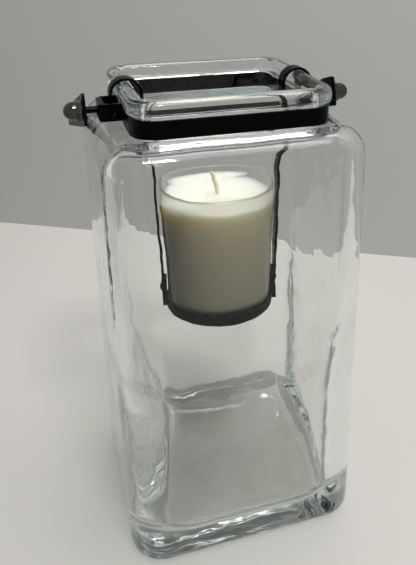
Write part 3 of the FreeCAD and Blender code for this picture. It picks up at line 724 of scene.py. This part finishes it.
def make_acorn_nut(side, sign):
    """A domed nut as a radius round the X axis. The hexagon's radius is half its width across flats
    over the cosine of the angle from the nearest flat, cut by a cone at both ends, and a sphere on
    a short barrel closes it."""
    low, high = box_mm("acorn_nut_" + side)
    start, end = sorted((low[0], high[0]), key=abs)
    axis_height = (low[2] + high[2]) / 2
    angle = arc(0, 360, 72)[None, :]
    flat = (angle + math.pi / 6) % (math.pi / 3) - math.pi / 6
    hexagon = NUT_ACROSS / 2 / np.cos(flat)
    along = np.linspace(0, NUT_HEX, 16)[:, None]
    cone = NUT_ACROSS / 2 + NUT_CONE * np.minimum(along, NUT_HEX - along) + NUT_CONE_START
    turn = np.linspace(0, math.pi / 2, 16)[1:-1, None]
    barrel_end = abs(end - start) - NUT_DOME
    barrel = np.linspace(NUT_HEX, barrel_end, 3)[:, None]
    radius = np.concatenate([
        np.minimum(hexagon, cone),
        np.full((len(barrel), angle.size), NUT_DOME),
        np.broadcast_to(NUT_DOME * np.cos(turn), (len(turn), angle.size)),
    ])
    out = np.concatenate([along, barrel, barrel_end + NUT_DOME * np.sin(turn)])
    rings = np.stack([
        np.broadcast_to(start + sign * out, radius.shape),
        sign * radius * np.sin(angle),
        axis_height + radius * np.cos(angle),
    ], -1)
    piece = surface_object("acorn_nut_cap_" + side, rings[:, ::-1], NUT_CREASE)
    dress(piece, "black_nickel", "lantern_body", "acorn_nut_" + side)


make_jar()
make_cup()
make_wax()
make_wick()
for side, sign, half_turn in (("left", -1, math.pi), ("right", 1, 0.0)):
    make_strap(side, half_turn)
    make_acorn_nut(side, sign)

FINISHES = {
    "black_paint": (
        "band_front", "band_back", "bail_handle", "stud_left", "stud_right", "clamp_screw_left",
        "clamp_screw_right", "clamp_nut_left", "clamp_nut_right",
    ),
    "tray_paint": ("candle_tray", "tray_rivet_left", "tray_rivet_right"),
    "tab_metal": ("wick_tab",),
}
for finish, nodes in FINISHES.items():
    for node in nodes:
        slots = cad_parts[node].data.materials
        slots.clear()
        slots.append(MATERIALS[finish])


# The stage is full up to the first distance from the lantern and gone at the second, in metres.
STAGE_FADE = 0.6, 1.1


def plain_sheet(start, colour):
    """A matt stage colour that fades out far away, casts no shadow, and is clear from behind so that
    it never hides the lantern."""
    front = start.principled(Base_Color=colour, Roughness=0.6, Specular_IOR_Level=0.2)
    clear = start.node("ShaderNodeBsdfTransparent", {}, {})
    behind = start.node("ShaderNodeNewGeometry", {}, {}, "Backfacing")
    distance = start.node("ShaderNodeVectorMath", {"operation": "LENGTH"}, {0: start.place()}, "Value")
    shadow = start.node("ShaderNodeLightPath", {}, {}, "Is Shadow Ray")
    gone = behind.largest(shadow).largest(distance.between(*STAGE_FADE))
    return (start.node("ShaderNodeMixShader", {}, {0: gone, 1: front, 2: clear}),)


def flat_sheet(name, corners, colour):
    """A plain rectangle for the stage."""
    mesh = bpy.data.meshes.new(name)
    mesh.from_pydata(corners, [], [(0, 1, 2, 3)])
    sheet = bpy.data.objects.new(name, mesh)
    bpy.context.scene.collection.objects.link(sheet)
    mesh.materials.append(make_material(name, lambda start: plain_sheet(start, colour)))


# The stage, in metres. The backdrop stands on a line through two places on the floor.
STAGE_REACH = 4.0
BACKDROP_LEFT, BACKDROP_RIGHT = Vector((-0.144, 0.457, 0)), Vector((0.2715, 0.222, 0))
BACKDROP_HEIGHT = 3.0
BACKDROP_GREY = (0.55, 0.55, 0.54, 1)
FLOOR_GREY = (0.6, 0.585, 0.545, 1)
sideways = (BACKDROP_RIGHT - BACKDROP_LEFT).normalized() * STAGE_REACH
rise = Vector((0, 0, BACKDROP_HEIGHT))
near, far = BACKDROP_LEFT - sideways, BACKDROP_LEFT + sideways
flat_sheet("backdrop", [near, far, far + rise, near + rise], BACKDROP_GREY)
quarters = ((-1, -1), (1, -1), (1, 1), (-1, 1))
flat_sheet("floor", [(x * STAGE_REACH, y * STAGE_REACH, 0) for x, y in quarters], FLOOR_GREY)


def add_lamp(name, place, target, size, power):
    """A soft rectangular lamp that faces a point."""
    lamp = bpy.data.lights.new(name, "AREA")
    lamp.shape = "RECTANGLE"
    lamp.size, lamp.size_y = size
    lamp.energy = power
    holder = bpy.data.objects.new(name, lamp)
    holder.location = place
    holder.rotation_euler = (Vector(target) - Vector(place)).to_track_quat("-Z", "Y").to_euler()
    bpy.context.scene.collection.objects.link(holder)


# Place and target in metres, size in metres and power in watts.
add_lamp("top_lamp", (0.25, -0.05, 1.30), (0, 0, 0), (0.6, 0.5), 6.5)
add_lamp("back_lamp", (0.25, 0.90, 0.65), (0, 0, 0.15), (0.5, 0.5), 3)
add_lamp("front_lamp", (0.05, -0.58, 1.15), (0, 0, 0.1), (0.2, 0.2), 8)

# The world lights the lantern weakly, and shows as a pale grey to the camera, in metal and in glass.
AMBIENT = 0.2
PALE = (0.60, 0.60, 0.59, 1)
world = bpy.data.worlds.new("studio")
bpy.context.scene.world = world
world.use_nodes = True
world.node_tree.nodes.clear()
sky = Shade(world.node_tree)
camera_ray, glossy_ray, glass_ray = (
    sky.node("ShaderNodeLightPath", {}, {}, "Is %s Ray" % kind)
    for kind in ("Camera", "Glossy", "Transmission")
)
strength = AMBIENT + camera_ray.largest(glossy_ray).largest(glass_ray) * (1 - AMBIENT)
light = sky.node("ShaderNodeBackground", {}, {"Color": PALE, "Strength": strength})
sky.node("ShaderNodeOutputWorld", {}, {"Surface": light})

# The camera, with the photograph's size and principal point in pixels and its place in metres.
PHOTO_WIDTH, PHOTO_HEIGHT = 416, 565
FOCAL_PIXELS = 688.9
PRINCIPAL_POINT = (267.6, 187.2)
CAMERA_PLACE = (-0.0875, -0.3422, 0.3285)
YAW, PITCH, ROLL = (math.radians(angle) for angle in (18.945, 21.0, 0.27))
SENSOR = 36.0
CLIP_START = 0.01
ahead = Vector((math.sin(YAW) * math.cos(PITCH), math.cos(YAW) * math.cos(PITCH), -math.sin(PITCH)))
level = Vector((math.cos(YAW), -math.sin(YAW), 0))
raised = level.cross(ahead)
right = math.cos(ROLL) * level + math.sin(ROLL) * raised
up = math.cos(ROLL) * raised - math.sin(ROLL) * level
camera = bpy.data.objects.new("camera", bpy.data.cameras.new("camera"))
camera.data.sensor_width = SENSOR
camera.data.lens = FOCAL_PIXELS / PHOTO_HEIGHT * SENSOR
camera.data.shift_x = (PHOTO_WIDTH / 2 - PRINCIPAL_POINT[0]) / PHOTO_HEIGHT
camera.data.shift_y = (PRINCIPAL_POINT[1] - PHOTO_HEIGHT / 2) / PHOTO_HEIGHT
camera.data.clip_start = CLIP_START
facing = Matrix((right, up, -ahead)).transposed().to_4x4()
camera.matrix_world = Matrix.Translation(CAMERA_PLACE) @ facing
bpy.context.scene.collection.objects.link(camera)
bpy.context.scene.camera = camera
bpy.context.scene.view_settings.view_transform = "Standard"

# Light crosses many walls of glass. Lamps already shine through them, so caustics would light twice.
tracing = bpy.context.scene.cycles
tracing.max_bounces = 32
tracing.transmission_bounces = 32
tracing.glossy_bounces = 24
tracing.transparent_max_bounces = 16
tracing.caustics_reflective = False
tracing.caustics_refractive = False
